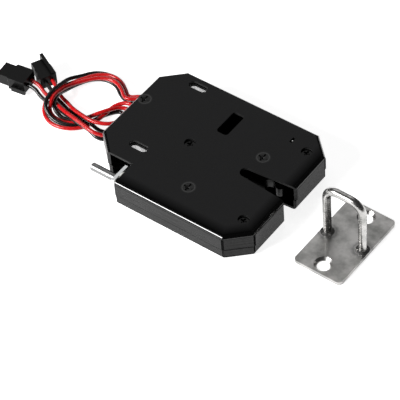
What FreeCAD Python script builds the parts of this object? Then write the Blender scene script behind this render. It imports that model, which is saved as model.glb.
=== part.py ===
"""Electric cabinet lock with a rotary latch, a push solenoid and its loop striker.

Millimetres, +Z up. The origin is the middle of the lock case's underside.
+X points out of the mouth of the latch slot, the release rod stands in the
rear left notch, and the wires leave the rear wall. The striker lies in front
of the slot on the same floor.
"""
import FreeCAD, Part
import math
import os

Vec = FreeCAD.Vector
Z_AXIS = Vec(0, 0, 1)
X_AXIS = Vec(1, 0, 0)

# Case: two folded sheet covers, one above the other
case_length = 73.0
case_width = 58.0
case_height = 11.5
sheet = 1.0
parting_height = 4.8
parting_gap = 0.2
lower_inset = 0.3
fold_radius = 1.6
corner_cut_x = 7.9
corner_cut_y = 7.5
crease_width = 0.35
crease_depth = 0.45
crease_start = 0.8
notch_length = 18.9
notch_width = 10.6
notch_corner_x = 7.4
notch_corner_y = 6.9

# Latch slot, cut through both covers from the front edge
slot_y = 0.0
slot_end_x = 15.6
slot_end_width = 4.2
slot_mouth_width = 6.9
slot_mouth_radius = 0.9

# Window over the mechanism and the slit for the spring end
window_x = -0.4
window_y = 16.0
window_length = 11.2
window_width = 4.7
window_radius = 1.2
slit_x = 22.4
slit_y = 21.5
slit_length = 2.6
slit_width = 1.0
slit_tip_depth = 0.15

# Mounting slots, with a bright sleeve between the covers under each
mount_from_rear = 15.6
mount_left_y = -10.5
mount_from_right = 4.4
mount_slot_length = 7.6
mount_slot_width = 3.3
sleeve_wall = 0.8
sleeve_recess = 0.5

# Play of whatever stands beside the inside of a wall, and how far each cutting
# tool reaches past the face that it cuts
wall_play = 0.1
beyond = 1.0

# Cover screws and the pillars they go into
rear_pillar_y = 9.1
left_pillar_x = 5.3
left_pillar_gap = 1.1
screw_radius = 1.25
screw_head_radius = 2.7
screw_length = 5.0
thread_clearance = 0.05
thread_spare = 0.5
pillar_wall = 0.65
rivet_radius = 1.6
recess_width = 0.75
recess_length = 3.6
recess_depth = 0.9
recess_arm_depth = 0.54
recess_point_radius = 0.15
recess_cone = 0.31

# Locating posts, whose cross-recessed ends sit in holes of the upper cover
post_near_middle = (-6.9, 0.7)
post_from_front = 6.75
post_from_right = 9.4
post_from_left = 11.0
post_radius = 2.8
post_end_radius = 1.9
post_hole_clearance = 0.15
post_end_depth = 0.8
post_recess_length = 2.4

# Rotary latch
latch_x = 18.65
latch_y = 9.05
latch_low = 4.0
latch_thickness = 3.6
latch_hub_radius = 5.8
latch_bore_clearance = 0.08
latch_post_radius = 2.5
latch_collar_width = 1.1
latch_turn = 48.0
bar_radius = 1.5
notch_half_width = 1.85
tine_thickness = 3.7
lobe_radius = 10.35
lobe_start_angle = -154.5
lobe_end_angle = -181.0
heel_width = 1.0
tine_root = 1.6
tine_tip = -2.7
tine_taper = 0.45
tine_tip_middle = (1.9, -4.5)
tine_tip_inner = -3.1
throat_tip = -2.3
throat_tip_middle = (1.4, -3.7)
throat_tip_width = 2.9
throat_back = (0.75, 3.0)
hub_angle = 45
ramp_middle = (6.6, 116)
ramp_end = (7.13, 140.1)

# Pawl that holds the latch shut
pawl_x = 10.2
pawl_y = -8.5
pawl_low = 4.6
pawl_thickness = 3.0
pawl_hub_radius = 3.8
pawl_pin_radius = 1.75
pawl_collar_width = 1.2
pawl_bore_clearance = 0.08
pawl_rest_angle = 10.0
pawl_arm_left = 2.8
pawl_arm_right = 1.2
pawl_heel_clearance = 0.16
pawl_arm_flare = 0.8
pawl_foot_width = 3.8
pawl_foot_gap = 4.2
pawl_foot_left = 2.4
pawl_foot_right = 3.4
pawl_foot_back = 3.8
pawl_root_rear = 2.6
pawl_root_front = 3.2

# Torsion springs on the latch post and on the pawl pin
latch_spring_wire = 0.5
latch_spring_radius = 3.55
latch_spring_turns = 2
latch_hook_distance = 4.4
latch_hook_angle = 60.0
pawl_spring_wire = 0.4
pawl_spring_radius = 2.6
pawl_spring_turns = 3
pawl_hook_distance = 3.1
pawl_hook_angle = 60.0
spring_play = 0.08
hook_inner_bend = 0.1

# Push solenoid along the left wall
frame_past_notch = 2.4
solenoid_length = 27.0
frame_thickness = 1.2
coil_play = 0.1
bobbin_flange = 0.9
bobbin_wall = 0.5
winding_margin = 0.15
plunger_radius = 2.0
plunger_play = 0.15
plunger_from_rear = 4.0
plunger_length = 15.5
rod_radius = 1.5
rod_reach = 12.1
rod_chamfer = 0.35
rod_tang_radius = 1.0
rod_tang_length = 4.0
push_pin_radius = 1.0
push_pin_round = 0.45
push_gap = 0.2
hole_play = 0.15
stop_play = 0.03
stop_length = 3.0
plunger_spring_wire = 0.35
plunger_spring_turns = 6
solenoid_screw_radius = 1.0
solenoid_screw_spacing = 16.0

# Microswitch that reports the latch
switch_x = 4.2
switch_y = 15.2
switch_length = 12.8
switch_width = 6.0
switch_height = 6.4
switch_corner = 0.5
switch_pin_radius = 0.95
switch_pin_inset = 3.15
switch_pin_depth = 4.4
switch_pin_end = 0.6
terminal_count = 3
terminal_pitch = 5.1
terminal_inset = 1.3
terminal_width = 1.8
terminal_thickness = 0.5
terminal_reach = 2.2
button_from_end = 4.0
button_width = 1.6
button_height = 2.2
button_reach = 0.9
button_play = 0.1
lever_thickness = 0.4
lever_length = 7.8
lever_height = 4.0
lever_inset = 1.0
lever_gap = 0.4
lever_roll_radius = 0.3
lever_rest_angle = -14.0

# Wire exit in the rear wall, closed by a rubber grommet
exit_y = 14.2
exit_z = 3.9
exit_radius = 2.4
grommet_play = 0.05
grommet_lip = 0.9
grommet_flange = 1.0
grommet_back_lip = 0.35
grommet_back = 1.0
wire_diameter = 1.5
wire_pitch = 1.6
wire_play = 0.06

# Two-pole housings at the wire ends, lying on the floor. Each has the middle of
# its back, its heading, its body and sleeve, and boxes along its own axes for
# its lever and rib.
plug_pitch = 2.5
plug_wire_z = 2.5
plug_wire_depth = 1.0
plug_wall = 0.7
plug_corner = 0.5
plug_contact_size = 0.9
plug_contact_gap = 0.05
plug_contact_start = 0.1
plug_contact_reach = 0.6
socket_place = (-80.0, -0.8)
socket_heading = 187.3
socket_body = (7.2, 7.8, 5.4)
socket_sleeve = (4.6, 6.5)
socket_boxes = (
    (-1.0, 4.8, 4.4, 5.3, 0.9, 2.9),
    (3.6, 4.8, 3.5, 4.4, 0.9, 2.9),
    (2.2, 5.6, -4.8, -3.5, 1.2, 3.6),
)
plug_place = (-74.2, 3.7)
plug_heading = 153.4
plug_body = (5.8, 6.4, 5.2)
plug_sleeve = (4.1, 5.6)
plug_boxes = (
    (0.3, 10.9, -2.6, -1.3, 5.8, 6.6),
    (9.4, 10.9, -2.6, -1.3, 4.0, 5.8),
)

# Striker: a plate with a loop of round bar
striker_x = 58.6
striker_y = 0.4
striker_length = 33.8
striker_width = 19.5
striker_thickness = 1.4
striker_corner = 1.6
striker_hole_pitch = 25.6
striker_hole_radius = 2.3
striker_sink_radius = 3.3
striker_turn = -0.9
loop_span = 14.6
loop_height = 25.0
loop_bend = 4.6
loop_weld_radius = 2.5
loop_weld_height = 0.5

# Case edges, the inner sides of the walls and the places that follow them
rear_x, front_x = -case_length / 2, case_length / 2
left_y, right_y = -case_width / 2, case_width / 2
notch_x = rear_x + notch_length
notch_y = left_y + notch_width
inner_rear_x = rear_x + lower_inset + sheet
inner_left_y = left_y + lower_inset + sheet
inner_top = case_height - sheet
mount_x = rear_x + mount_from_rear
mount_y = (mount_left_y, right_y - mount_from_right)
latch_place = (latch_x, latch_y)
post_places = (
    post_near_middle,
    (front_x - post_from_front, right_y - post_from_right),
    (front_x - post_from_front, left_y + post_from_left),
)
flange_radius = (inner_top - sheet - frame_thickness) / 2 - coil_play
coil_y = inner_left_y + wall_play + flange_radius
coil_z = inner_top - coil_play - flange_radius
pillar_radius = screw_radius + pillar_wall
left_pillar = (left_pillar_x, coil_y + flange_radius + left_pillar_gap + pillar_radius)
pillar_places = ((inner_rear_x + wall_play + pillar_radius, rear_pillar_y), left_pillar)
frame_rear_x = notch_x - frame_past_notch
frame_front_x = frame_rear_x + solenoid_length
plunger_rear_x = frame_rear_x + plunger_from_rear
plunger_front_x = plunger_rear_x + plunger_length
pawl_face_x = frame_front_x + pawl_foot_gap
solenoid_screw_places = tuple(
    ((frame_rear_x + frame_front_x + side * solenoid_screw_spacing) / 2, coil_y) for side in (-1, 1))
switch_pin_places = tuple(
    (x, switch_y + switch_pin_depth)
    for x in (switch_x + switch_pin_inset, switch_x + switch_length - switch_pin_inset))


def cylinder(x, y, z0, z1, radius):
    return Part.makeCylinder(radius, z1 - z0, Vec(x, y, z0), Z_AXIS)


def rod_along_x(x0, x1, y, z, radius):
    return Part.makeCylinder(radius, x1 - x0, Vec(x0, y, z), X_AXIS)


def block(x0, x1, y0, y1, z0, z1):
    return Part.makeBox(x1 - x0, y1 - y0, z1 - z0, Vec(x0, y0, z0))


def prism(points, z0, z1):
    corners = [Vec(x, y, z0) for x, y in points]
    face = Part.Face(Part.makePolygon(corners + corners[:1]))
    return face.extrude(Vec(0, 0, z1 - z0))


def oblong(x, y, z0, z1, length, width):
    reach = (length - width) / 2
    body = block(x - reach, x + reach, y - width / 2, y + width / 2, z0, z1)
    for side in (-reach, reach):
        body = body.fuse(cylinder(x + side, y, z0, z1, width / 2))
    return body.removeSplitter()


def round_upright(shape, radius):
    """Round every upright edge of a prism."""
    edges = [e for e in shape.Edges if abs(e.tangentAt(e.FirstParameter).z) > 0.99]
    return shape.makeFillet(radius, edges)


def polar(radius, degrees):
    angle = math.radians(degrees)
    return (radius * math.cos(angle), radius * math.sin(angle))


def outline_prism(start, steps, z0, z1):
    """Prism of an outline: a step of one point is a line, of two points an arc."""
    edges = []
    here = Vec(start[0], start[1], z0)
    for step in steps:
        ends = [Vec(x, y, z0) for x, y in step]
        if len(ends) == 1:
            edges.append(Part.makeLine(here, ends[0]))
        else:
            edges.append(Part.Arc(here, ends[0], ends[1]).toShape())
        here = ends[-1]
    return Part.Face(Part.Wire(edges)).extrude(Vec(0, 0, z1 - z0))


def offset_outline(points, offsets):
    """Move each side of a counter-clockwise outline inwards by its own offset."""
    lines = []
    count = len(points)
    for i in range(count):
        (x0, y0), (x1, y1) = points[i], points[(i + 1) % count]
        length = math.hypot(x1 - x0, y1 - y0)
        dx, dy = (x1 - x0) / length, (y1 - y0) / length
        lines.append((x0 - dy * offsets[i], y0 + dx * offsets[i], dx, dy))
    moved = []
    for i in range(count):
        ax, ay, adx, ady = lines[i - 1]
        bx, by, bdx, bdy = lines[i]
        cross = adx * bdy - ady * bdx
        along = ((bx - ax) * bdy - (by - ay) * bdx) / cross
        moved.append((ax + adx * along, ay + ady * along))
    return moved


def cross_recess(x, y, top, length):
    """Tool that cuts a cross recess with a pointed middle."""
    half = length / 2
    thin = recess_width / 2
    low, high = top - recess_arm_depth, top + beyond
    arms = block(x - half, x + half, y - thin, y + thin, low, high)
    arms = arms.fuse(block(x - thin, x + thin, y - half, y + half, low, high))
    point = Part.makeCone(recess_point_radius, length * recess_cone, recess_depth,
                          Vec(x, y, top - recess_depth), Z_AXIS)
    return arms.fuse(point)


def helix_spring(radius, wire, pitch, height, base, axis):
    """Round-wire coil from base along axis."""
    helix = Part.makeHelix(pitch, height, radius)
    start = helix.Edges[0].valueAt(helix.Edges[0].FirstParameter)
    heading = helix.Edges[0].tangentAt(helix.Edges[0].FirstParameter)
    circle = Part.Wire(Part.makeCircle(wire / 2, start, heading))
    coil = Part.Wire(helix).makePipeShell([circle], True, True)
    coil.Placement = FreeCAD.Placement(base, FreeCAD.Rotation(Z_AXIS, axis))
    return coil


def save(name, shape):
    solids = shape.Solids
    keep = Part.makeCompound(solids) if len(solids) > 1 else solids[0]
    assert keep.isValid(), name
    keep.exportStep("parts/" + name + ".step")
    print(f"{name}: {len(solids)} solid(s), {sum(s.Volume for s in solids):.1f} mm3")


# Outline of the case seen from above, counter-clockwise from the rear left notch.
# The two sides that face the notch have no wall.
case_outline = [
    (notch_x, left_y),
    (front_x - corner_cut_x, left_y),
    (front_x, left_y + corner_cut_y),
    (front_x, right_y - corner_cut_y),
    (front_x - corner_cut_x, right_y),
    (rear_x + corner_cut_x, right_y),
    (rear_x, right_y - corner_cut_y),
    (rear_x, notch_y + notch_corner_y),
    (rear_x + notch_corner_x, notch_y),
    (notch_x, notch_y),
]
walled = [True, True, True, True, True, True, True, True, False, False]
creased = [i for i in range(len(walled)) if walled[i] and walled[i - 1]]


def folded_cover(outline, plate_z, rim_z):
    """Sheet cover: a plate with its rim folded towards rim_z along the walled sides."""
    up = rim_z > plate_z
    low, high = min(plate_z, rim_z), max(plate_z, rim_z)
    body = prism(outline, low, high)
    folded = []
    for edge in body.Edges:
        middle = edge.valueAt((edge.FirstParameter + edge.LastParameter) / 2)
        if abs(middle.z - plate_z) > 0.01 or abs(edge.tangentAt(edge.FirstParameter).z) > 0.1:
            continue
        for i, has_wall in enumerate(walled):
            (x0, y0), (x1, y1) = outline[i], outline[(i + 1) % len(outline)]
            on_side = math.hypot(middle.x - (x0 + x1) / 2, middle.y - (y0 + y1) / 2) < 0.01
            if has_wall and on_side:
                folded.append(edge)
    body = body.makeFillet(fold_radius, folded)
    inner = offset_outline(outline, [sheet if wall else -beyond for wall in walled])
    if up:
        body = body.cut(prism(inner, plate_z + sheet, rim_z + beyond))
    else:
        body = body.cut(prism(inner, rim_z - beyond, plate_z - sheet))
    # A crease stands at each corner where two folded rims meet.
    for i in creased:
        x, y = outline[i]
        before, after = outline[i - 1], outline[(i + 1) % len(outline)]
        inward = Vec(before[0] + after[0] - 2 * x, before[1] + after[1] - 2 * y, 0)
        angle = math.degrees(math.atan2(inward.y, inward.x))
        rim_end = plate_z + (fold_radius if up else -fold_radius) * crease_start
        cut = block(-beyond, crease_depth, -crease_width / 2, crease_width / 2,
                    min(rim_end, rim_z), max(rim_end, rim_z))
        cut.rotate(Vec(0, 0, 0), Z_AXIS, angle)
        cut.translate(Vec(x, y, 0))
        body = body.cut(cut)
    return body


def slot_tool():
    """Latch slot: rounded end, gently widening walls and a rounded mouth."""
    end, mouth = slot_end_width / 2, slot_mouth_width / 2
    r = slot_mouth_radius
    knee_x = front_x - r
    lean = math.sqrt(0.5)
    start = (slot_end_x + end, slot_y + end)
    steps = [
        ((slot_end_x + end * (1 - lean), slot_y + end * lean), (slot_end_x, slot_y)),
        ((slot_end_x + end * (1 - lean), slot_y - end * lean), (slot_end_x + end, slot_y - end)),
        ((knee_x, slot_y - mouth),),
        ((front_x - r * (1 - lean), slot_y - mouth - r * (1 - lean)), (front_x, slot_y - mouth - r)),
        ((front_x + beyond, slot_y - mouth - r),),
        ((front_x + beyond, slot_y + mouth + r),),
        ((front_x, slot_y + mouth + r),),
        ((front_x - r * (1 - lean), slot_y + mouth + r * (1 - lean)), (knee_x, slot_y + mouth)),
        (start,),
    ]
    return outline_prism(start, steps, -beyond, case_height + beyond)


def screw_sink(x, y, top, growth):
    """Countersink cone for a flat screw head."""
    depth = screw_head_radius - screw_radius
    return Part.makeCone(screw_radius + growth, screw_head_radius + growth, depth,
                         Vec(x, y, top - depth), Z_AXIS)


def window_tool():
    body = block(window_x - window_width / 2, window_x + window_width / 2,
                 window_y - window_length / 2, window_y + window_length / 2,
                 parting_height, case_height + beyond)
    return round_upright(body, window_radius)


def make_covers():
    lower_outline = offset_outline(case_outline, [lower_inset if w else 0.0 for w in walled])
    upper = folded_cover(case_outline, case_height, parting_height + parting_gap)
    lower = folded_cover(lower_outline, 0.0, parting_height)
    slot = slot_tool()
    upper = upper.cut(slot).cut(window_tool())
    lower = lower.cut(slot)
    upper = upper.cut(block(slit_x - slit_width / 2, slit_x + slit_width / 2,
                            slit_y - slit_length / 2, slit_y + slit_length / 2,
                            inner_top - beyond, case_height + beyond))
    for y in mount_y:
        tool = oblong(mount_x, y, -beyond, case_height + beyond, mount_slot_length, mount_slot_width)
        upper = upper.cut(tool)
        lower = lower.cut(tool)
    for x, y in pillar_places + (latch_place,):
        upper = upper.cut(cylinder(x, y, inner_top - beyond, case_height + beyond,
                                   screw_radius + thread_clearance))
        upper = upper.cut(screw_sink(x, y, case_height, 0.0))
    for x, y in post_places:
        upper = upper.cut(cylinder(x, y, inner_top - beyond, case_height + beyond,
                                   post_end_radius + post_hole_clearance))
    riveted = pillar_places + post_places + (latch_place, (pawl_x, pawl_y))
    for x, y in riveted:
        lower = lower.cut(cylinder(x, y, -beyond, sheet + beyond, rivet_radius))
    for x, y in solenoid_screw_places:
        lower = lower.cut(cylinder(x, y, -beyond, sheet + beyond, solenoid_screw_radius + thread_clearance))
    for x, y in switch_pin_places:
        lower = lower.cut(cylinder(x, y, -beyond, sheet + beyond, switch_pin_radius + thread_clearance))
    exit_hole = rod_along_x(rear_x - beyond, inner_rear_x + beyond, exit_y, exit_z, exit_radius)
    upper = upper.cut(exit_hole)
    lower = lower.cut(exit_hole)
    save("upper_cover", upper)
    save("lower_cover", lower)


def make_fasteners():
    pillars = []
    screws = []
    for x, y in pillar_places:
        pillar = cylinder(x, y, sheet, inner_top, pillar_radius)
        pillar = pillar.fuse(cylinder(x, y, 0, sheet, rivet_radius))
        pillar = pillar.cut(cylinder(x, y, case_height - screw_length - thread_spare, case_height,
                                     screw_radius + thread_clearance))
        pillar = pillar.cut(screw_sink(x, y, case_height, thread_clearance))
        pillars.append(pillar)
    for x, y in pillar_places + (latch_place,):
        screw = screw_sink(x, y, case_height, 0.0)
        screw = screw.fuse(cylinder(x, y, case_height - screw_length, inner_top, screw_radius))
        screws.append(screw.cut(cross_recess(x, y, case_height, recess_length)))
    posts = []
    for x, y in post_places:
        post = cylinder(x, y, sheet, inner_top, post_radius)
        post = post.fuse(cylinder(x, y, 0, sheet, rivet_radius))
        top = case_height - post_end_depth
        post = post.fuse(cylinder(x, y, inner_top - beyond, top, post_end_radius))
        posts.append(post.cut(cross_recess(x, y, top, post_recess_length)))
    save("cover_pillars", Part.makeCompound(pillars))
    save("cover_screws", Part.makeCompound(screws))
    save("locating_posts", Part.makeCompound(posts))
    sleeves = []
    for y in mount_y:
        outer = oblong(mount_x, y, sheet, inner_top - sleeve_recess,
                       mount_slot_length + 2 * sleeve_wall, mount_slot_width + 2 * sleeve_wall)
        sleeves.append(outer.cut(oblong(mount_x, y, 0, case_height,
                                        mount_slot_length, mount_slot_width)))
    save("mounting_sleeves", Part.makeCompound(sleeves))


def make_latch():
    """The latch is drawn shut about its own pivot, then turned open to rest."""
    seat = slot_y - latch_y
    inner, outer = notch_half_width, notch_half_width + tine_thickness
    heel_outer = polar(lobe_radius, lobe_start_angle)
    pawl_from_latch = (pawl_x - latch_x, pawl_y - latch_y)
    heel_reach = math.hypot(heel_outer[0] - pawl_from_latch[0], heel_outer[1] - pawl_from_latch[1])

    def on_heel(x):
        return (x, pawl_from_latch[1] + math.sqrt(heel_reach ** 2 - (x - pawl_from_latch[0]) ** 2))

    ramp_low = polar(lobe_radius, lobe_end_angle)
    ramp_high = polar(*ramp_end)
    heel_inner_x = -outer - heel_width
    steps = [
        (on_heel((heel_outer[0] + heel_inner_x) / 2), on_heel(heel_inner_x)),
        ((-outer, seat + tine_root),),
        ((-outer + tine_taper, seat + tine_tip),),
        ((-inner - tine_tip_middle[0], seat + tine_tip_middle[1]), (-inner, seat + tine_tip_inner)),
        ((-inner, seat),),
        ((0.0, seat + inner), (inner, seat)),
        ((inner, seat + throat_tip),),
        ((inner + throat_tip_middle[0], seat + throat_tip_middle[1]),
         (inner + throat_tip_width, seat + throat_tip)),
        ((outer + throat_back[0], seat + throat_back[1]), (latch_hub_radius, 0.0)),
        (polar(latch_hub_radius, hub_angle), (0.0, latch_hub_radius)),
        (polar(*ramp_middle), ramp_high),
        (ramp_low,),
        (polar(lobe_radius, (lobe_start_angle + lobe_end_angle) / 2), heel_outer),
    ]
    body = outline_prism(heel_outer, steps, latch_low, latch_low + latch_thickness)
    body = body.cut(cylinder(0, 0, 0, case_height, latch_post_radius + latch_bore_clearance))
    body = body.cut(cylinder(*polar(latch_hook_distance, latch_hook_angle), 0, case_height,
                             latch_spring_wire / 2 + spring_play))
    body.rotate(Vec(0, 0, 0), Z_AXIS, latch_turn)
    body.translate(Vec(latch_x, latch_y, 0))
    save("latch", body)
    post = cylinder(latch_x, latch_y, sheet, latch_low, latch_post_radius + latch_collar_width)
    post = post.fuse(cylinder(latch_x, latch_y, sheet, inner_top, latch_post_radius))
    post = post.fuse(cylinder(latch_x, latch_y, 0, sheet, rivet_radius))
    post = post.cut(cylinder(latch_x, latch_y, case_height - screw_length - thread_spare, case_height,
                             screw_radius + thread_clearance))
    post = post.cut(screw_sink(latch_x, latch_y, case_height, thread_clearance))
    save("latch_post", post)


def from_polar(place, radius, degrees):
    x, y = polar(radius, degrees)
    return (place[0] + x, place[1] + y)


def rounded_path(points, largest_bend=math.inf):
    """Wire of straight runs, each corner an arc that takes up to 0.45 of its shorter run."""
    edges = []
    radii = []
    here = points[0]
    for before, corner, after in zip(points, points[1:], points[2:]):
        back, ahead = before - corner, after - corner
        half_turn = (math.pi - back.getAngle(ahead)) / 2
        radius = min(0.45 * min(back.Length, ahead.Length) / math.tan(half_turn), largest_bend)
        cut = radius * math.tan(half_turn)
        radii.append(round(radius, 1))
        start = corner + back.normalize() * cut
        end = corner + ahead.normalize() * cut
        to_centre = (back + ahead).normalize()
        middle = corner + to_centre * (radius / math.cos(half_turn) - radius)
        edges.append(Part.makeLine(here, start))
        edges.append(Part.Arc(start, middle, end).toShape())
        here = end
    edges.append(Part.makeLine(here, points[-1]))
    return Part.Wire(edges), radii


def bent_rod(points, radius, largest_bend=math.inf):
    path = rounded_path(points, largest_bend)[0]
    circle = Part.makeCircle(radius, points[0], points[1] - points[0])
    return path.makePipeShell([Part.Wire(circle)], True, False)


def torsion_spring(place, radius, wire, turns, low, high, leg_end, tip_top):
    """Coil around a pin whose last turn runs straight on into a leg with an upright tip."""
    bottom = low + wire / 2
    top = high - wire / 2
    reach = math.hypot(leg_end[0] - place[0], leg_end[1] - place[1])
    towards = math.degrees(math.atan2(leg_end[1] - place[1], leg_end[0] - place[0]))
    leaves = towards - math.degrees(math.acos(radius / reach))
    leg_turns = math.sqrt(reach ** 2 - radius ** 2) / (2 * math.pi * radius)
    pitch = (top - bottom) / (turns + leg_turns)
    helix = Part.makeHelix(pitch, pitch * turns, radius)
    helix.rotate(Vec(0, 0, 0), Z_AXIS, leaves)
    helix.translate(Vec(place[0], place[1], bottom))
    coil = helix.Edges[0]
    leg = [coil.valueAt(coil.LastParameter), Vec(*leg_end, top)]
    if tip_top > top:
        leg.append(Vec(*leg_end, tip_top - wire / 2))
    path = Part.Wire([coil] + rounded_path(leg)[0].Edges)
    heading = coil.tangentAt(coil.FirstParameter)
    circle = Part.makeCircle(wire / 2, coil.valueAt(coil.FirstParameter), heading)
    return path.makePipeShell([Part.Wire(circle)], True, False)


def spring_tang(place, radius, wire, low, hook, bottom):
    """The spring's moving leg, which hooks down into the piece that it turns."""
    z = low + wire / 2
    reach = math.hypot(hook[0] - place[0], hook[1] - place[1])
    towards = math.degrees(math.atan2(hook[1] - place[1], hook[0] - place[0]))
    leaves = towards + math.degrees(math.acos(radius / reach))
    points = [Vec(*from_polar(place, radius, leaves), z), Vec(*hook, z), Vec(*hook, bottom + wire / 2)]
    return bent_rod(points, wire / 2, wire / 2 + hook_inner_bend)


def make_torsion_springs():
    latch_top = latch_low + latch_thickness
    hook = from_polar(latch_place, latch_hook_distance, latch_hook_angle + latch_turn)
    tang = spring_tang(latch_place, latch_spring_radius, latch_spring_wire, latch_top + spring_play,
                       hook, latch_low + spring_play)
    save("latch_spring_tang", tang)
    low = latch_top + latch_spring_wire + 3 * spring_play
    spring = torsion_spring(latch_place, latch_spring_radius, latch_spring_wire, latch_spring_turns,
                            low, inner_top - spring_play, (slit_x, slit_y), case_height - slit_tip_depth)
    save("latch_spring", spring)
    pawl_top = pawl_low + pawl_thickness
    pin = (pawl_x, pawl_y)
    hook = from_polar(pin, pawl_hook_distance, pawl_hook_angle)
    tang = spring_tang(pin, pawl_spring_radius, pawl_spring_wire, pawl_top + spring_play,
                       hook, pawl_low + spring_play)
    save("pawl_spring_tang", tang)
    low = pawl_top + pawl_spring_wire + 3 * spring_play
    rest = (left_pillar[0] + pillar_radius + pawl_spring_wire / 2 + spring_play, left_pillar[1])
    spring = torsion_spring(pin, pawl_spring_radius, pawl_spring_wire, pawl_spring_turns,
                            low, inner_top - spring_play, rest, 0.0)
    save("pawl_spring", spring)


def make_pawl():
    """The upper arm is drawn engaged and turned to rest, the foot is drawn at rest."""
    low, high = pawl_low, pawl_low + pawl_thickness
    pin_place = (pawl_x, pawl_y)
    heel = polar(lobe_radius, lobe_start_angle)
    reach = math.hypot(heel[0] + latch_x - pawl_x, heel[1] + latch_y - pawl_y) - pawl_heel_clearance
    top_left = (-pawl_arm_left, math.sqrt(reach ** 2 - pawl_arm_left ** 2))
    top_right = (pawl_arm_right, math.sqrt(reach ** 2 - pawl_arm_right ** 2))
    root_right = (pawl_arm_right + pawl_arm_flare, 0.0)
    arm = outline_prism(root_right, [
        (top_right,),
        ((0.0, reach), top_left),
        ((-pawl_arm_left, 0.0),),
        (root_right,),
    ], low, high)
    arm.rotate(Vec(0, 0, 0), Z_AXIS, pawl_rest_angle)
    arm.translate(Vec(pawl_x, pawl_y, 0))
    back_x = pawl_face_x + pawl_foot_width
    foot = prism([
        (pawl_x - pawl_root_rear, pawl_y),
        (pawl_face_x, coil_y + pawl_foot_right),
        (pawl_face_x, coil_y - pawl_foot_left),
        (back_x, coil_y - pawl_foot_left),
        (back_x, coil_y + pawl_foot_back),
        (pawl_x + pawl_root_front, pawl_y),
    ], low, high)
    body = arm.fuse(foot).fuse(cylinder(pawl_x, pawl_y, low, high, pawl_hub_radius)).removeSplitter()
    body = body.cut(cylinder(pawl_x, pawl_y, 0, case_height, pawl_pin_radius + pawl_bore_clearance))
    hook = from_polar(pin_place, pawl_hook_distance, pawl_hook_angle)
    body = body.cut(cylinder(*hook, 0, case_height, pawl_spring_wire / 2 + spring_play))
    save("pawl", body)
    pin = cylinder(pawl_x, pawl_y, sheet, low, pawl_pin_radius + pawl_collar_width)
    pin = pin.fuse(cylinder(pawl_x, pawl_y, 0, sheet, rivet_radius))
    pin = pin.fuse(cylinder(pawl_x, pawl_y, low, inner_top, pawl_pin_radius))
    save("pawl_pin", pin)


def make_solenoid():
    """Open frame with a bobbin, a winding, a fixed stop and the two sliding pieces."""
    floor_top = sheet + frame_thickness
    x0, x1 = frame_rear_x + frame_thickness, frame_front_x - frame_thickness
    low_y, high_y = coil_y - flange_radius, coil_y + flange_radius
    frame = block(frame_rear_x, frame_front_x, low_y, high_y, sheet, floor_top)
    for plate_x in (frame_rear_x, x1):
        frame = frame.fuse(block(plate_x, plate_x + frame_thickness, low_y, high_y,
                                 sheet, coil_z + flange_radius))
    frame = frame.removeSplitter()
    frame = frame.cut(rod_along_x(frame_rear_x - beyond, x0 + beyond, coil_y, coil_z,
                                  rod_radius + hole_play))
    frame = frame.cut(rod_along_x(x1 - beyond, frame_front_x + beyond, coil_y, coil_z,
                                  push_pin_radius + hole_play))
    screws = []
    for x, y in solenoid_screw_places:
        frame = frame.cut(cylinder(x, y, 0, floor_top + beyond, solenoid_screw_radius + thread_clearance))
        screws.append(cylinder(x, y, 0, floor_top, solenoid_screw_radius))
    save("solenoid_frame", frame)
    save("solenoid_screws", Part.makeCompound(screws))

    bore_radius = plunger_radius + plunger_play
    tube_radius = bore_radius + bobbin_wall
    bobbin = rod_along_x(x0, x1, coil_y, coil_z, tube_radius)
    for x in (x0, x1 - bobbin_flange):
        bobbin = bobbin.fuse(rod_along_x(x, x + bobbin_flange, coil_y, coil_z, flange_radius))
    bobbin = bobbin.cut(rod_along_x(x0 - beyond, x1 + beyond, coil_y, coil_z, bore_radius))
    bobbin = bobbin.cut(block(x0 - beyond, x1 + beyond, low_y, high_y, 0, floor_top))
    save("solenoid_bobbin", bobbin)
    winding = rod_along_x(x0 + bobbin_flange, x1 - bobbin_flange, coil_y, coil_z,
                          flange_radius - winding_margin)
    winding = winding.cut(rod_along_x(x0, x1, coil_y, coil_z, tube_radius))
    save("solenoid_winding", winding)

    stop_x = x1 - stop_length
    stop = rod_along_x(stop_x, x1, coil_y, coil_z, bore_radius - stop_play)
    stop = stop.cut(rod_along_x(stop_x - beyond, x1 + beyond, coil_y, coil_z,
                                push_pin_radius + hole_play))
    save("solenoid_stop", stop)
    tip_x = pawl_face_x - push_gap
    pin = rod_along_x(plunger_front_x - beyond, tip_x, coil_y, coil_z, push_pin_radius)
    tip_edges = [e for e in pin.Edges if abs(e.CenterOfMass.x - tip_x) < 0.01]
    pin = pin.makeFillet(push_pin_round, tip_edges)
    plunger = rod_along_x(plunger_rear_x, plunger_front_x, coil_y, coil_z, plunger_radius)
    socket = rod_along_x(plunger_rear_x - beyond, plunger_rear_x + rod_tang_length, coil_y, coil_z,
                         rod_tang_radius)
    save("plunger", plunger.fuse(pin).removeSplitter().cut(socket))
    rod_end_x = frame_rear_x - rod_reach
    rod = rod_along_x(rod_end_x, plunger_rear_x, coil_y, coil_z, rod_radius)
    end_edges = [e for e in rod.Edges if abs(e.CenterOfMass.x - rod_end_x) < 0.01]
    rod = rod.makeChamfer(rod_chamfer, end_edges)
    tang = rod_along_x(plunger_rear_x - beyond, plunger_rear_x + rod_tang_length, coil_y, coil_z,
                       rod_tang_radius)
    save("release_rod", rod.fuse(tang).removeSplitter())
    gap = stop_x - plunger_front_x
    height = gap - plunger_spring_wire - 2 * spring_play
    spring = helix_spring(push_pin_radius + hole_play + plunger_spring_wire, plunger_spring_wire,
                          height / plunger_spring_turns, height,
                          Vec(plunger_front_x + spring_play + plunger_spring_wire / 2, coil_y, coil_z),
                          X_AXIS)
    save("plunger_spring", spring)


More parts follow.
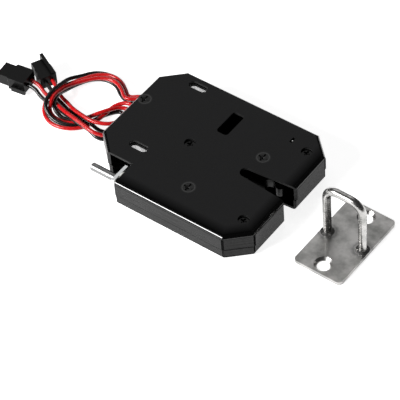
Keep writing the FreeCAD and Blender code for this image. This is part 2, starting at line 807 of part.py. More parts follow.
def make_switch():
    x0, x1 = switch_x, switch_x + switch_length
    y0, y1 = switch_y, switch_y + switch_width
    z0, z1 = sheet, sheet + switch_height
    middle = (z0 + z1) / 2
    body = round_upright(block(x0, x1, y0, y1, z0, z1), switch_corner)
    pins = []
    for x, y in switch_pin_places:
        body = body.cut(cylinder(x, y, 0, case_height, switch_pin_radius + thread_clearance))
        pins.append(cylinder(x, y, 0, z1 + switch_pin_end, switch_pin_radius))
    button_x = x0 + button_from_end
    half_width, half_height = button_width / 2, button_height / 2
    body = body.cut(block(button_x - half_width - button_play, button_x + half_width + button_play,
                          y0 - beyond, y0 + button_reach + beyond, middle - half_height - button_play,
                          middle + half_height + button_play))
    save("switch_body", body)
    save("switch_pins", Part.makeCompound(pins))
    terminals = []
    for k in range(terminal_count):
        x = x0 + terminal_inset + terminal_pitch * k
        terminals.append(block(x - terminal_width / 2, x + terminal_width / 2, y1, y1 + terminal_reach,
                               middle - terminal_thickness / 2, middle + terminal_thickness / 2))
    save("switch_terminals", Part.makeCompound(terminals))
    save("switch_button", block(button_x - half_width, button_x + half_width, y0 - button_reach,
                                y0 + button_reach / 2, middle - half_height, middle + half_height))
    lever_low, lever_high = middle - lever_height / 2, middle + lever_height / 2
    lever = block(0, lever_length, -lever_thickness, 0, lever_low, lever_high)
    lever = lever.fuse(cylinder(0, 0, lever_low, lever_high, lever_roll_radius)).removeSplitter()
    lever.rotate(Vec(0, 0, 0), Z_AXIS, lever_rest_angle)
    lever.translate(Vec(x0 + lever_inset, y0 - lever_gap, 0))
    save("switch_lever", lever)


def make_grommet():
    """Rubber grommet with one opening for the bundle of four wires."""
    inside_x = inner_rear_x + grommet_play
    end_x = inside_x + grommet_back
    ring = rod_along_x(rear_x - grommet_flange, rear_x, exit_y, exit_z, exit_radius + grommet_lip)
    ring = ring.fuse(rod_along_x(rear_x, end_x, exit_y, exit_z, exit_radius - grommet_play))
    ring = ring.fuse(rod_along_x(inside_x, end_x, exit_y, exit_z, exit_radius + grommet_back_lip))
    half = (wire_pitch + wire_diameter) / 2 + wire_play
    opening = block(rear_x - grommet_flange - beyond, end_x + beyond,
                    exit_y - half, exit_y + half, exit_z - half, exit_z + half)
    along = [e for e in opening.Edges if abs(e.tangentAt(e.FirstParameter).x) > 0.99]
    save("wire_grommet", ring.removeSplitter().cut(opening.makeFillet(wire_diameter / 2, along)))


# Points of each wire from the grommet to its plug, straight runs with rounded corners
red_outer_route = [
    (-33.9, 15.0, 4.7), (-39.3, 15.0, 4.7), (-43.1, 17.2, 2.9), (-47.5, 20.2, 0.8), (-54.3, 22.9, 0.8),
    (-62.2, 21.9, 0.8), (-68.1, 17.0, 0.8), (-71.0, 10.9, 3.4), (-71.4, 3.6, 6.2), (-70.7, -5.8, 6.2),
    (-66.5, -12.2, 1.6), (-59.4, -14.9, 0.8), (-51.9, -12.2, 0.8), (-48.6, -5.5, 0.8), (-47.5, -0.1, 2.0),
    (-46.6, 4.4, 2.5), (-42.3, 6.0, 2.5), (-39.5, 3.3, 2.5), (-39.4, -1.0, 2.7), (-42.3, -3.6, 4.2),
    (-46.8, -3.5, 5.3), (-55.3, -2.5, 5.3), (-61.5, -0.6, 1.0), (-67.3, 1.2, 0.8), (-71.3, 3.7, 2.4),
    (-74.5, 5.3, 2.5),
]
black_outer_route = [
    (-33.9, 15.0, 3.1), (-39.3, 15.0, 3.1), (-43.7, 15.8, 1.5), (-48.2, 18.7, 0.8), (-54.5, 21.2, 0.8),
    (-61.5, 20.3, 0.8), (-66.8, 15.9, 0.8), (-69.4, 10.4, 3.4), (-69.7, 3.6, 6.2), (-69.1, -5.3, 6.2),
    (-65.4, -10.9, 1.6), (-59.4, -13.2, 0.8), (-53.0, -11.0, 0.8), (-50.1, -4.9, 0.8), (-48.8, 0.5, 0.8),
    (-46.6, 4.4, 0.8), (-42.3, 6.0, 0.8), (-39.5, 3.3, 0.8), (-39.4, -1.0, 1.0), (-41.8, -4.4, 2.6),
    (-46.8, -5.2, 5.3), (-55.6, -4.2, 5.3), (-62.0, -2.2, 1.0), (-67.8, -0.4, 0.8), (-72.4, 1.4, 2.4),
    (-75.6, 3.0, 2.5),
]
red_inner_route = [
    (-33.9, 13.4, 4.7), (-39.3, 13.4, 4.7), (-44.2, 14.4, 2.9), (-49.0, 17.2, 0.8), (-54.7, 19.5, 0.8),
    (-60.9, 18.7, 0.8), (-65.5, 14.8, 0.8), (-67.8, 10.0, 3.4), (-68.1, 3.6, 6.2), (-67.5, -4.7, 6.2),
    (-64.4, -9.4, 1.6), (-59.4, -11.5, 0.8), (-54.2, -9.7, 0.8), (-51.7, -4.3, 0.8), (-50.4, 1.1, 2.0),
    (-47.9, 6.0, 2.5), (-41.9, 7.9, 2.5), (-37.7, 4.0, 2.5), (-37.6, -1.6, 2.7), (-40.9, -5.8, 4.2),
    (-46.8, -6.8, 5.3), (-56.0, -5.8, 5.3), (-62.4, -3.8, 1.0), (-68.2, -2.0, 0.8), (-73.0, -0.9, 0.9),
    (-77.2, 0.8, 2.5), (-81.1, 0.3, 2.5),
]
black_inner_route = [
    (-33.9, 13.4, 3.1), (-39.3, 13.4, 3.1), (-44.8, 13.0, 1.5), (-49.7, 15.8, 0.8), (-54.9, 17.8, 0.8),
    (-60.2, 17.1, 0.8), (-64.3, 13.7, 0.8), (-66.2, 9.5, 3.4), (-66.5, 3.6, 6.2), (-65.9, -4.2, 6.2),
    (-63.5, -8.1, 1.6), (-59.4, -9.8, 0.8), (-55.3, -8.5, 0.8), (-53.3, -3.7, 0.8), (-52.0, 1.8, 0.8),
    (-47.9, 6.0, 0.8), (-41.9, 7.9, 0.8), (-37.7, 4.0, 0.8), (-37.6, -1.6, 1.0), (-40.3, -6.9, 2.6),
    (-46.8, -8.5, 5.3), (-56.3, -7.5, 5.3), (-62.9, -5.4, 1.0), (-68.7, -3.6, 0.8), (-73.0, -3.2, 0.9),
    (-76.9, -1.7, 2.5), (-80.8, -2.2, 2.5),
]


def make_wire(name, route):
    """Tube along the route: each corner takes 0.45 of its shorter run."""
    points = [Vec(*p) for p in route]
    path, radii = rounded_path(points)
    tube = bent_rod(points, wire_diameter / 2)
    expected = path.Length * math.pi * wire_diameter ** 2 / 4
    print(f"{name}: length {path.Length:.1f}, radii {radii}, volume / expected {tube.Volume / expected:.4f}")
    save(name, tube)


def make_plug(name, place, heading, body_size, sleeve_size, boxes):
    """Two-pole housing, drawn along +X from the middle of its back."""
    length, width, height = body_size
    sleeve_length, sleeve_width = sleeve_size
    front = length + sleeve_length
    rim = plug_wall / 2
    body = round_upright(block(0, length, -width / 2, width / 2, 0, height), plug_corner)
    body = body.fuse(block(length - rim, front, -sleeve_width / 2, sleeve_width / 2, rim, height - rim))
    for box in boxes:
        body = body.fuse(block(*box))
    body = body.removeSplitter()
    mouth = sleeve_width / 2 - plug_wall
    body = body.cut(block(length, front + beyond, -mouth, mouth, rim + plug_wall,
                          height - rim - plug_wall))
    contacts = []
    size = plug_contact_size / 2
    room = size + plug_contact_gap
    contact_x = plug_wire_depth + plug_contact_start
    for y in (-plug_pitch / 2, plug_pitch / 2):
        body = body.cut(rod_along_x(-beyond, contact_x, y, plug_wire_z,
                                    wire_diameter / 2 + wire_play))
        body = body.cut(block(plug_wire_depth, length + beyond, y - room, y + room,
                              plug_wire_z - room, plug_wire_z + room))
        contacts.append(block(contact_x, length + sleeve_length * plug_contact_reach, y - size, y + size,
                              plug_wire_z - size, plug_wire_z + size))
    for piece, shape in ((name + "_housing", body), (name + "_contacts", Part.makeCompound(contacts))):
        shape.rotate(Vec(0, 0, 0), Z_AXIS, heading)
        shape.translate(Vec(*place, 0))
        save(piece, shape)


def make_striker():
    half_x, half_y = striker_width / 2, striker_length / 2
    plate = block(-half_x, half_x, -half_y, half_y, 0, striker_thickness)
    plate = round_upright(plate, striker_corner)
    half = loop_span / 2
    for side in (-1, 1):
        y = side * striker_hole_pitch / 2
        plate = plate.cut(cylinder(0, y, -beyond, striker_thickness + beyond, striker_hole_radius))
        sink = striker_sink_radius - striker_hole_radius
        plate = plate.cut(Part.makeCone(striker_hole_radius, striker_sink_radius, sink,
                                        Vec(0, y, striker_thickness - sink), Z_AXIS))
        plate = plate.cut(cylinder(side * half, 0, -beyond, striker_thickness + beyond, bar_radius))
    top = loop_height - bar_radius
    knee = top - loop_bend
    lean = loop_bend * (1 - math.sqrt(0.5))
    path = Part.Wire([
        Part.makeLine(Vec(-half, 0, 0), Vec(-half, 0, knee)),
        Part.Arc(Vec(-half, 0, knee), Vec(-half + lean, 0, top - lean),
                 Vec(-half + loop_bend, 0, top)).toShape(),
        Part.makeLine(Vec(-half + loop_bend, 0, top), Vec(half - loop_bend, 0, top)),
        Part.Arc(Vec(half - loop_bend, 0, top), Vec(half - lean, 0, top - lean),
                 Vec(half, 0, knee)).toShape(),
        Part.makeLine(Vec(half, 0, knee), Vec(half, 0, 0)),
    ])
    circle = Part.Wire(Part.makeCircle(bar_radius, Vec(-half, 0, 0), Z_AXIS))
    loop = path.makePipeShell([circle], True, False)
    for foot_x in (-half, half):
        loop = loop.fuse(Part.makeCone(loop_weld_radius, bar_radius, loop_weld_height,
                                       Vec(foot_x, 0, striker_thickness), Z_AXIS))
    for name, shape in (("striker_plate", plate), ("striker_loop", loop)):
        shape.rotate(Vec(0, 0, 0), Z_AXIS, striker_turn)
        shape.translate(Vec(striker_x, striker_y, 0))
        save(name, shape)


os.makedirs("parts", exist_ok=True)
make_covers()
make_fasteners()
make_latch()
make_torsion_springs()
make_pawl()
make_solenoid()
make_switch()
make_grommet()
make_wire("wire_red_outer", red_outer_route)
make_wire("wire_black_outer", black_outer_route)
make_wire("wire_red_inner", red_inner_route)
make_wire("wire_black_inner", black_inner_route)
make_plug("socket", socket_place, socket_heading, socket_body, socket_sleeve, socket_boxes)
make_plug("plug", plug_place, plug_heading, plug_body, plug_sleeve, plug_boxes)
make_striker()
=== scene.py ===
# %% [markdown]
# An electric cabinet lock lies beside its loop striker. The solid pieces come
# from the frame, already at their real size and place. This file lays the soft
# wires, gives every piece its finish and sets up a plain studio. Everything is
# in metres, and sizes written in millimetres are multiplied by MM.

# %% Load the frame
import bpy
import bmesh
import math
from mathutils import Matrix, Vector


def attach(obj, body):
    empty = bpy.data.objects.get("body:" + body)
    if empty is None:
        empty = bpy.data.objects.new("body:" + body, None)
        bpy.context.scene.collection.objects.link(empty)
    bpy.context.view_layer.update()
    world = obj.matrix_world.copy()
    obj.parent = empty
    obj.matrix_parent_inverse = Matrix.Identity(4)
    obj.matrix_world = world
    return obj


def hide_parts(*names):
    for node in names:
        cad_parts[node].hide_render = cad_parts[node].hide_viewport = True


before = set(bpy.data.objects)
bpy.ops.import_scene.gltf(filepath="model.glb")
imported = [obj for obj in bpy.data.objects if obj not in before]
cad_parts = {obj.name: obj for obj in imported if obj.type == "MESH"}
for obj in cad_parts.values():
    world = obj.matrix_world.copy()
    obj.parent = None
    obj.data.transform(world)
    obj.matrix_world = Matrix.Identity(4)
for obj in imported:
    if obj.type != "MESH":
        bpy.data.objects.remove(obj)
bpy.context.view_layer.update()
MM = 0.001
print("nodes in the frame:", len(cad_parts))

# %% [markdown]
# The camera comes first, so that every later piece can be judged in the
# photograph's own view. A long lens from far away gives the flat perspective of
# a product picture. The camera looks at a point on the floor under the case,
# and is rolled a little, as a hand-held camera is.

# %% Camera
camera_place = Vector((0.341058, -0.408825, 0.574840))
camera_target = Vector((0.005465, -0.011137, 0.0))
camera_roll = math.radians(-4.957)

camera_data = bpy.data.cameras.new("camera")
camera_data.lens = 200.0
camera_data.sensor_width = 36.0
camera_data.clip_start = 0.01
camera = bpy.data.objects.new("camera", camera_data)
bpy.context.scene.collection.objects.link(camera)
aim = (camera_target - camera_place).to_track_quat("-Z", "Y").to_matrix().to_4x4()
camera.matrix_world = Matrix.Translation(camera_place) @ aim @ Matrix.Rotation(camera_roll, 4, "Z")
bpy.context.scene.camera = camera
bpy.context.scene.view_settings.view_transform = "Standard"
print(f"camera {(camera_target - camera_place).length:.3f} m from the point it looks at")

# %% [markdown]
# Every finish here is a small graph of shader nodes. Writing such a graph link
# by link is slow to read, so a Signal stands for one socket and lets plain
# arithmetic build the Math nodes. A Finish holds one material, and its node
# method makes any other node: first its settings, then its inputs.

# %% Helpers that write shader maths as expressions
class Signal:
    """One output socket, with the arithmetic that the finishes use."""

    def __init__(self, finish, socket):
        self.finish = finish
        self.socket = socket

    def _maths(self, operation, first, second):
        return self.finish.node("ShaderNodeMath", {"operation": operation}, {0: first, 1: second})

    def __add__(self, other):
        return self._maths("ADD", self, other)

    def __radd__(self, other):
        return self._maths("ADD", other, self)

    def __sub__(self, other):
        return self._maths("SUBTRACT", self, other)

    def __rsub__(self, other):
        return self._maths("SUBTRACT", other, self)

    def __mul__(self, other):
        return self._maths("MULTIPLY", self, other)

    def __gt__(self, other):
        return self._maths("GREATER_THAN", self, other)

    def __lt__(self, other):
        return self._maths("LESS_THAN", self, other)

    def squared(self):
        return self._maths("POWER", self, 2.0)

    def least(self, other):
        return self._maths("MINIMUM", self, other)

    def axis(self, letter):
        return self.finish.node("ShaderNodeSeparateXYZ", {}, {"Vector": self}, output=letter)


class Finish:
    """One material and the short calls that fill its graph."""

    def __init__(self, name, colour, roughness, metallic=0.0, **sockets):
        self.material = bpy.data.materials.new(name)
        self.material.use_nodes = True
        self.tree = self.material.node_tree
        self.shader = self.tree.nodes["Principled BSDF"]
        self.set("Base Color", (*colour, 1.0))
        self.set("Roughness", roughness)
        self.set("Metallic", metallic)
        for socket, value in sockets.items():
            self.set(socket.replace("_", " "), value)

    def feed(self, socket, value):
        if isinstance(value, Signal):
            self.tree.links.new(value.socket, socket)
        else:
            socket.default_value = value

    def set(self, name, value):
        self.feed(self.shader.inputs[name], value)

    def node(self, kind, settings=None, inputs=None, output=0):
        made = self.tree.nodes.new(kind)
        for name, value in (settings or {}).items():
            if name == "stops":
                ramp = made.color_ramp
                while len(ramp.elements) < len(value):
                    ramp.elements.new(0.5)
                for element, (position, colour) in zip(ramp.elements, value):
                    element.position = position
                    element.color = colour
            else:
                setattr(made, name, value)
        for key, value in (inputs or {}).items():
            self.feed(made.inputs[key], value)
        return Signal(self, made.outputs[output])

    def place(self, scale=(1, 1, 1)):
        """Object coordinates, each axis scaled by its own factor."""
        where = self.node("ShaderNodeTexCoord", output="Object")
        return self.node("ShaderNodeMapping", {}, {"Vector": where, "Scale": scale})

    def reach(self, where, centre):
        """How far a place is from a centre."""
        return self.node("ShaderNodeVectorMath", {"operation": "DISTANCE"}, {0: where, 1: centre},
                         output="Value")

    def tone(self):
        """What feeds the base colour so far."""
        return Signal(self, self.shader.inputs["Base Color"].links[0].from_socket)

    def noise(self, scale, detail=3.0, roughness=0.5, where=None):
        inputs = {"Scale": scale, "Detail": detail, "Roughness": roughness,
                  "Vector": where or self.place()}
        return self.node("ShaderNodeTexNoise", {}, inputs)

    def ramp(self, signal, *stops):
        greys = [(position, (value, value, value, 1)) for position, value in stops]
        return self.node("ShaderNodeValToRGB", {"stops": greys}, {"Fac": signal})

    def mix(self, factor, first, second):
        made = self.tree.nodes.new("ShaderNodeMix")
        made.data_type = "RGBA"
        self.feed(made.inputs[0], factor)
        for socket, value in ((made.inputs[6], first), (made.inputs[7], second)):
            self.feed(socket, value if isinstance(value, Signal) else (*value, 1.0))
        return Signal(self, made.outputs[2])

    def bump(self, height, distance):
        self.set("Normal", self.node("ShaderNodeBump", {}, {"Height": height, "Distance": distance}))


def wear(objects, finish):
    """Put one finish on every slot of the given objects."""
    for item in objects:
        if not item.data.materials:
            item.data.materials.append(finish.material)
        for slot in item.material_slots:
            slot.material = finish.material


def cad(*names):
    return [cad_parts[name] for name in names]


def grey(value):
    return (value, value, value)


FLAT = (1, 1, 0)
print("helpers: Signal, Finish, wear, cad and grey")

# %% [markdown]
# The four wires are soft things of a fixed length. Each is one smooth curve that
# leaves the grommet, swings round in a wide loop, turns back behind the case,
# crosses itself and ends in its plug housing. A chain of straight tubes would
# show its joints. A NURBS spline keeps the line smooth, because its points only
# pull at the curve and are not corners of it.

# %% Wires
wire_diameter = 1.5 * MM
wire_routes = {
    "wire_red_outer": [
        (-33.9, 15.0, 4.7), (-39.3, 15.0, 4.7), (-43.7, 12.0, 3.7), (-47.5, 15.3, 3.0), (-52.0, 18.3, 2.6),
        (-57.6, 18.7, 2.6), (-62.0, 15.3, 2.7), (-64.7, 10.6, 2.8), (-67.4, 5.8, 2.9), (-68.3, 0.5, 4.1),
        (-68.3, -5.1, 4.3), (-66.4, -9.6, 2.2), (-61.6, -12.1, 1.6), (-56.1, -12.1, 1.9), (-51.3, -9.4, 1.7),
        (-48.3, -4.6, 1.5), (-46.9, 1.1, 2.0), (-46.4, 6.6, 2.8), (-43.0, 9.8, 3.8), (-39.4, 9.6, 4.0),
        (-38.5, 5.7, 4.2), (-38.7, 0.7, 4.3), (-40.7, -3.4, 4.9), (-46.2, -5.5, 5.0), (-51.6, -5.0, 4.9),
        (-57.1, -3.9, 4.5), (-61.6, -0.6, 1.3), (-67.3, 1.2, 0.8), (-71.3, 3.7, 2.4), (-74.5, 5.3, 2.5),
    ],
    "wire_black_outer": [
        (-33.9, 15.0, 3.1), (-39.3, 15.0, 3.1), (-44.4, 13.2, 1.9), (-48.7, 15.8, 1.1), (-53.3, 18.8, 0.8),
        (-58.9, 19.9, 1.0), (-64.0, 17.5, 1.2), (-66.7, 12.6, 1.8), (-68.0, 7.7, 4.0), (-67.5, 2.4, 5.7),
        (-67.2, -3.2, 7.0), (-66.3, -8.5, 5.6), (-62.2, -10.8, 2.9), (-56.7, -10.5, 2.0), (-51.8, -7.6, 1.5),
        (-49.3, -2.4, 0.9), (-47.5, 2.9, 0.8), (-43.3, 7.9, 0.9), (-39.2, 3.7, 0.8), (-39.3, -2.6, 0.9),
        (-42.9, -5.9, 2.0), (-48.3, -5.2, 3.3), (-53.8, -4.8, 3.1), (-59.2, -3.8, 2.1), (-62.2, -2.2, 1.0),
        (-67.8, -0.4, 0.8), (-72.4, 1.4, 2.4), (-75.6, 3.0, 2.5),
    ],
    "wire_red_inner": [
        (-33.9, 13.4, 4.7), (-39.3, 13.4, 4.7), (-43.7, 9.9, 4.8), (-48.1, 14.0, 4.2), (-53.4, 16.5, 3.5),
        (-58.8, 15.0, 3.5), (-62.5, 10.8, 3.6), (-65.6, 6.0, 3.6), (-66.0, 0.6, 5.4), (-65.6, -5.1, 6.2),
        (-64.0, -9.2, 2.5), (-58.3, -9.0, 1.0), (-53.4, -6.7, 1.0), (-50.5, -1.9, 2.3), (-46.4, 2.2, 4.1),
        (-43.3, 8.4, 2.8), (-37.7, 7.3, 2.4), (-37.7, 0.6, 2.8), (-37.7, -6.1, 2.6), (-42.6, -9.6, 4.7),
        (-48.9, -8.3, 4.9), (-54.5, -7.4, 4.8), (-59.9, -5.9, 3.8), (-65.2, -3.7, 2.5), (-68.3, -1.9, 1.0),
        (-73.0, -0.9, 0.9), (-77.2, 0.8, 2.5), (-81.1, 0.3, 2.5),
    ],
    "wire_black_inner": [
        (-33.9, 13.4, 3.1), (-39.3, 13.4, 3.1), (-44.2, 11.4, 2.0), (-48.7, 13.5, 0.9), (-53.2, 16.9, 0.8),
        (-58.8, 17.1, 0.8), (-63.3, 14.0, 0.8), (-66.0, 9.1, 0.8), (-66.9, 3.8, 1.7), (-66.2, -1.4, 4.4),
        (-64.3, -6.5, 3.8), (-59.7, -7.6, 1.0), (-54.6, -5.6, 0.8), (-51.4, -0.8, 0.8), (-48.5, 4.0, 0.8),
        (-45.4, 8.6, 0.8), (-40.4, 10.2, 0.9), (-37.8, 5.5, 0.9), (-37.7, 0.2, 0.8), (-37.9, -5.5, 0.9),
        (-41.3, -9.2, 1.8), (-46.8, -7.8, 3.1), (-52.4, -7.7, 3.3), (-57.7, -6.3, 2.7), (-62.9, -5.0, 1.3),
        (-68.6, -3.9, 0.8), (-73.0, -3.2, 0.9), (-76.9, -1.7, 2.5), (-80.8, -2.2, 2.5),
    ],
}


def make_wire(name, route, finish):
    curve = bpy.data.curves.new(name + "_run", "CURVE")
    curve.dimensions = "3D"
    curve.bevel_depth = wire_diameter / 2
    curve.bevel_resolution = 5
    curve.resolution_u = 10
    curve.use_fill_caps = True
    spline = curve.splines.new("NURBS")
    spline.points.add(len(route) - 1)
    for point, (x, y, z) in zip(spline.points, route):
        point.co = (x * MM, y * MM, z * MM, 1.0)
    spline.order_u = 3
    spline.use_endpoint_u = True
    wire = bpy.data.objects.new(name + "_run", curve)
    bpy.context.scene.collection.objects.link(wire)
    curve.materials.append(finish.material)
    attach(wire, "case_body")
    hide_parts(name)


red_insulation = Finish("red_insulation", (0.62, 0.008, 0.008), 0.28)
black_insulation = Finish("black_insulation", (0.008, 0.008, 0.008), 0.25)
for finish, dark, light in ((red_insulation, (0.42, 0.004, 0.006), (0.72, 0.012, 0.014)),
                            (black_insulation, (0.004, 0.004, 0.004), (0.012, 0.011, 0.011))):
    cloudy = finish.noise(420, detail=3)
    finish.set("Base Color", finish.mix(cloudy, dark, light))
    finish.set("Roughness", finish.ramp(finish.noise(900), (0.3, 0.2), (0.7, 0.34)))
    finish.bump(finish.noise(1400), 0.00002)
for name, route in wire_routes.items():
    finish = red_insulation if "red" in name else black_insulation
    make_wire(name, route, finish)
print("wires laid:", list(wire_routes))

# %% [markdown]
# The case is folded steel sheet under satin black paint. Close up, such paint is
# never even: it has a slight cloudiness, a fine orange peel, and on the folded
# walls faint level streaks where the rolled sheet shows through. Low specular
# strength keeps the plate dark under a bright studio, as the real paint is. The
# tight bend is polished by its radius, so a thin coat there mirrors the key lamp
# as one bright line. Small dark places could be cut into the solid or painted.
# Here the line between the covers is painted dark as a seam. The wall corners and faces that point down get
# painted shade. The bends, and a band of the top along its left, front and chamfered edges, get a painted
# dark reflection. So the solid stays as it is.

# %% Black paint of the case
half_length = 36.5 * MM
half_width = 29.0 * MM
corner_cut = 7.9 * MM
parting_height = 4.85 * MM
parting_half = 0.38 * MM
corner_line = 0.5 * MM
paint_texture = 0.02 * MM
wall_corners = ((half_length - corner_cut, half_width, 0.0), (half_length, half_width - corner_cut, 0.0))

black_paint = Finish("black_paint", (0.008, 0.008, 0.0083), 0.3, Specular_IOR_Level=0.13,
                     Coat_Roughness=0.06)
cloud = black_paint.noise(60, detail=4)
speckle = black_paint.noise(900, detail=2)
streaks = black_paint.noise(9, detail=4, where=black_paint.place(scale=(8, 8, 700)))
lift = black_paint.node("ShaderNodeNewGeometry", output="Normal").axis("Z")
on_wall = lift.squared() < 0.06
on_top = lift > 0.97
on_bend = (lift > 0.3) * (lift < 0.97)
under_bend = lift < -0.1
here = black_paint.place()
height = here.axis("Z")
parting = (height > parting_height - parting_half) * (height < parting_height + parting_half)
to_side = here.axis("Y") + half_width
to_front = half_length - here.axis("X")
to_cut = (to_side + to_front - corner_cut) * math.sqrt(0.5)
edge_near = to_side.least(to_front).least(to_cut) * 100.0
# painted dark reflection along the top's left, front and chamfered edges
near_edge = black_paint.ramp(edge_near, (0.15, 0.85), (0.55, 0.0)) * on_top
quarter = black_paint.node("ShaderNodeVectorMath", {"operation": "ABSOLUTE"}, {0: black_paint.place(FLAT)})
# painted shade in the four chamfer corners of the walls
at_corner = sum((black_paint.reach(quarter, corner) < corner_line for corner in wall_corners), start=0.0)
paint_tone = black_paint.mix(cloud, (0.0062, 0.0062, 0.0065), (0.0094, 0.0094, 0.0098))
streak_tone = black_paint.mix(black_paint.ramp(streaks, (0.38, 0.0), (0.62, 1.0)), grey(0.008), grey(0.034))
plain_tone = black_paint.mix(on_wall, paint_tone, streak_tone)
# painted shade in wall corners and on faces that point down, painted dark reflection on bends and near top
# edges, plus the dark seam between covers
seam_and_painted_shade = parting + at_corner + on_bend + near_edge + under_bend
satin = black_paint.ramp(cloud * 0.5 + speckle * 0.5, (0.35, 0.24), (0.65, 0.34))
black_paint.set("Base Color", black_paint.mix(seam_and_painted_shade, plain_tone, grey(0.0)))
black_paint.set("Metallic", parting + near_edge)
black_paint.set("Roughness", black_paint.mix(under_bend + at_corner, satin, grey(1.0)))
black_paint.set("Coat Weight", on_bend)
black_paint.bump(speckle * 0.6 + streaks * on_wall, paint_texture)
wear(cad("upper_cover", "lower_cover"), black_paint)
print("paint on", [item.name for item in cad("upper_cover", "lower_cover")])

# %% [markdown]
# Metal finishes differ in colour, in how sharp their reflections are, and in the
# marks that the maker's process leaves. One short function makes them all: a
# base colour with a darker stain, a roughness that wanders, and a fine grain
# stretched along one axis. The upper part of each mounting sleeve is darkened,
# as it lies in the shade of the cover. The striker plate has the dark rings
# that welding leaves round the feet of the loop.

# %% Bright and dark metals
def metal(name, light, dark, smooth, rough, grain=(1, 1, 1), stain=90, depth=0.00001):
    made = Finish(name, light, (smooth + rough) / 2, 1.0)
    patches = made.noise(stain, detail=5, roughness=0.6)
    scratches = made.noise(700, detail=3, where=made.place(scale=grain))
    made.set("Base Color", made.mix(made.ramp(patches, (0.4, 0.0), (0.68, 1.0)), light, dark))
    made.set("Roughness", made.ramp(patches * 0.4 + scratches * 0.6, (0.38, smooth), (0.62, rough)))
    made.bump(scratches, depth)
    return made


zinc = metal("zinc", (0.83, 0.84, 0.85), (0.66, 0.67, 0.68), 0.14, 0.3)
turned_steel = metal("turned_steel", grey(0.3), grey(0.12), 0.34, 0.44, grain=(1, 9, 9), depth=0.0)
dark_steel = metal("dark_steel", grey(0.07), grey(0.02), 0.2, 0.36)
spring_wire = metal("spring_wire", (0.7, 0.7, 0.69), (0.5, 0.5, 0.49), 0.15, 0.3)
sleeve_metal = metal("sleeve_metal", grey(0.97), grey(0.93), 0.22, 0.26, depth=0.0)
plate_nickel = metal("plate_nickel", (0.5, 0.49, 0.48), (0.27, 0.27, 0.26), 0.28, 0.42,
                     grain=(1, 6, 1), stain=160)
bar_nickel = metal("bar_nickel", (0.58, 0.57, 0.56), (0.3, 0.3, 0.29), 0.24, 0.3,
                   grain=(1, 1, 4), stain=220, depth=0.0)
copper = metal("copper", (0.6, 0.24, 0.1), (0.42, 0.15, 0.06), 0.25, 0.4, grain=(8, 1, 1))
tinned = metal("tinned", (0.78, 0.75, 0.68), (0.6, 0.57, 0.5), 0.2, 0.35)

shade_height = 8.9 * MM
in_shade = sleeve_metal.place().axis("Z") > shade_height
sleeve_metal.set("Base Color", sleeve_metal.mix(in_shade, sleeve_metal.tone(), grey(0.01)))
loop_feet = ((51.3 * MM, 0.5 * MM, 0.0), (65.9 * MM, 0.3 * MM, 0.0))
for foot in loop_feet:
    reach = plate_nickel.reach(plate_nickel.place(FLAT), foot) * 1000.0 + plate_nickel.noise(500) * 1.6
    heated = plate_nickel.ramp(reach * 0.1, (0.27, 0.9), (0.33, 0.25), (0.4, 0.5), (0.52, 0.0))
    plate_nickel.set("Base Color", plate_nickel.mix(heated, plate_nickel.tone(), (0.05, 0.05, 0.055)))
wear(cad("cover_pillars", "latch_post", "pawl_pin", "pawl", "solenoid_frame", "solenoid_screws",
         "solenoid_stop", "plunger", "switch_pins"), zinc)
wear(cad("release_rod"), turned_steel)
wear(cad("latch_spring", "latch_spring_tang", "pawl_spring", "pawl_spring_tang", "plunger_spring",
         "switch_lever"), spring_wire)
wear(cad("mounting_sleeves"), sleeve_metal)
wear(cad("latch"), dark_steel)
wear(cad("striker_plate"), plate_nickel)
wear(cad("striker_loop"), bar_nickel)
wear(cad("solenoid_winding"), copper)
wear(cad("switch_terminals", "socket_contacts", "plug_contacts"), tinned)
print("metal finishes: zinc, turned and dark steel, spring wire, sleeve, nickel, copper, tinned")

# %% [markdown]
# The screws are blackened steel with a paler ring painted near the edge of each head. The posts are darker
# and shinier, and their near-black is partly their own colour and partly painted shade of the recesses they
# sit in. Moulded parts are plain nylon or rubber with a fine matt texture, so one short function makes them
# all.

# %% Black steel, plastics and rubber
def moulded(name, dark, light, smooth, rough, **sockets):
    made = Finish(name, light, (smooth + rough) / 2, **sockets)
    patches = made.noise(300, detail=3)
    texture = made.noise(2600, detail=2)
    made.set("Base Color", made.mix(patches, dark, light))
    made.set("Roughness", made.ramp(patches * 0.4 + texture * 0.6, (0.35, smooth), (0.65, rough)))
    made.bump(texture, 0.00002)
    return made


black_steel = moulded("black_steel", grey(0.014), grey(0.022), 0.24, 0.34, Specular_IOR_Level=0.14)
black_plastic = moulded("black_plastic", grey(0.002), grey(0.006), 0.3, 0.42, Specular_IOR_Level=0.14)
black_rubber = moulded("black_rubber", grey(0.008), grey(0.016), 0.5, 0.7)
white_nylon = moulded("white_nylon", (0.72, 0.72, 0.68), (0.82, 0.82, 0.78), 0.4, 0.55)
red_plastic = moulded("red_plastic", (0.5, 0.03, 0.02), (0.62, 0.05, 0.04), 0.35, 0.5)
# the posts' near-black is partly their own colour, partly painted shade of the recesses they sit in
post_black_recess_shade = moulded("post_black_recess_shade", grey(0.001), grey(0.002), 0.1, 0.16, Specular_IOR_Level=0.2)
screw_places = ((-33.2 * MM, 9.1 * MM, 0.0), (5.3 * MM, -16.5 * MM, 0.0), (18.65 * MM, 9.05 * MM, 0.0))
# a paler ring painted near the edge of each screw head
for screw_place in screw_places:
    reach = black_steel.reach(black_steel.place(FLAT), screw_place) * 100.0
    pale_ring = black_steel.ramp(reach, (0.2, 0.0), (0.22, 1.0), (0.24, 0.0))
    black_steel.set("Base Color", black_steel.mix(pale_ring, black_steel.tone(), grey(0.06)))
wear(cad("cover_screws"), black_steel)
wear(cad("locating_posts"), post_black_recess_shade)
wear(cad("switch_body", "socket_housing", "plug_housing"), black_plastic)
wear(cad("wire_grommet"), black_rubber)
wear(cad("solenoid_bobbin"), white_nylon)
wear(cad("switch_button"), red_plastic)
print("moulded and black finishes: steel, posts, plastic, rubber, nylon, red plastic")

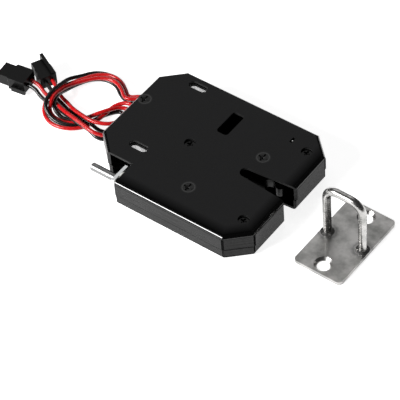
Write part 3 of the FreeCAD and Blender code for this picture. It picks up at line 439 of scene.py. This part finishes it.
# %% [markdown]
# The photograph stands on pure white, with hardly a shadow. A white floor can be
# lit until it clips, but that burns the object too. Here the floor glows for
# rays that come from the camera, from a reflection or through glass, so the
# lamps stay at a plain level and metal still mirrors a white ground. It is large
# enough to fill the picture from every side, so the sky can stay dim and plain.

# %% Floor and sky
floor_half = 3.0
floor_finish = Finish("floor", grey(0.9), 0.9, Specular_IOR_Level=0.0, Emission_Strength=1.0)
path = floor_finish.tree.nodes.new("ShaderNodeLightPath")
seen = sum((Signal(floor_finish, path.outputs[ray])
            for ray in ("Is Camera Ray", "Is Glossy Ray", "Is Transmission Ray")), start=0.0)
floor_finish.set("Emission Color", floor_finish.mix(seen, grey(0.0), grey(0.86)))
floor_mesh = bpy.data.meshes.new("floor")
mesh = bmesh.new()
bmesh.ops.create_grid(mesh, x_segments=1, y_segments=1, size=floor_half)
mesh.to_mesh(floor_mesh)
mesh.free()
floor = bpy.data.objects.new("floor", floor_mesh)
bpy.context.scene.collection.objects.link(floor)
floor_mesh.materials.append(floor_finish.material)

world = bpy.data.worlds.new("sky")
bpy.context.scene.world = world
world.use_nodes = True
sky = world.node_tree.nodes["Background"]
sky.inputs["Color"].default_value = (1.0, 1.0, 1.0, 1.0)
sky.inputs["Strength"].default_value = 0.04
print(f"floor {2 * floor_half:.1f} m wide")

# %% [markdown]
# Two soft boxes do the lighting. The key is low on the left, where the folded
# bend of the case mirrors it as one thin bright line. The broad one stands
# behind, where the flat plate and the striker mirror it faintly.

# %% Lamps
def add_lamp(name, place, target, size, power):
    data = bpy.data.lights.new(name, "AREA")
    data.shape = "RECTANGLE"
    data.size, data.size_y = size
    data.energy = power
    lamp = bpy.data.objects.new(name, data)
    bpy.context.scene.collection.objects.link(lamp)
    place = Vector(place)
    turn = (Vector(target) - place).to_track_quat("-Z", "Y").to_matrix().to_4x4()
    lamp.matrix_world = Matrix.Translation(place) @ turn
    print(f"{name}: radiance {power / (math.pi * size[0] * size[1]):.2f}")


add_lamp("key", (-0.43, -0.74, 0.51), (0, 0, 0), (0.5, 0.26), 14.0)
add_lamp("back", (-0.55, 0.65, 0.95), (0, 0, 0), (1.0, 1.0), 2.3)
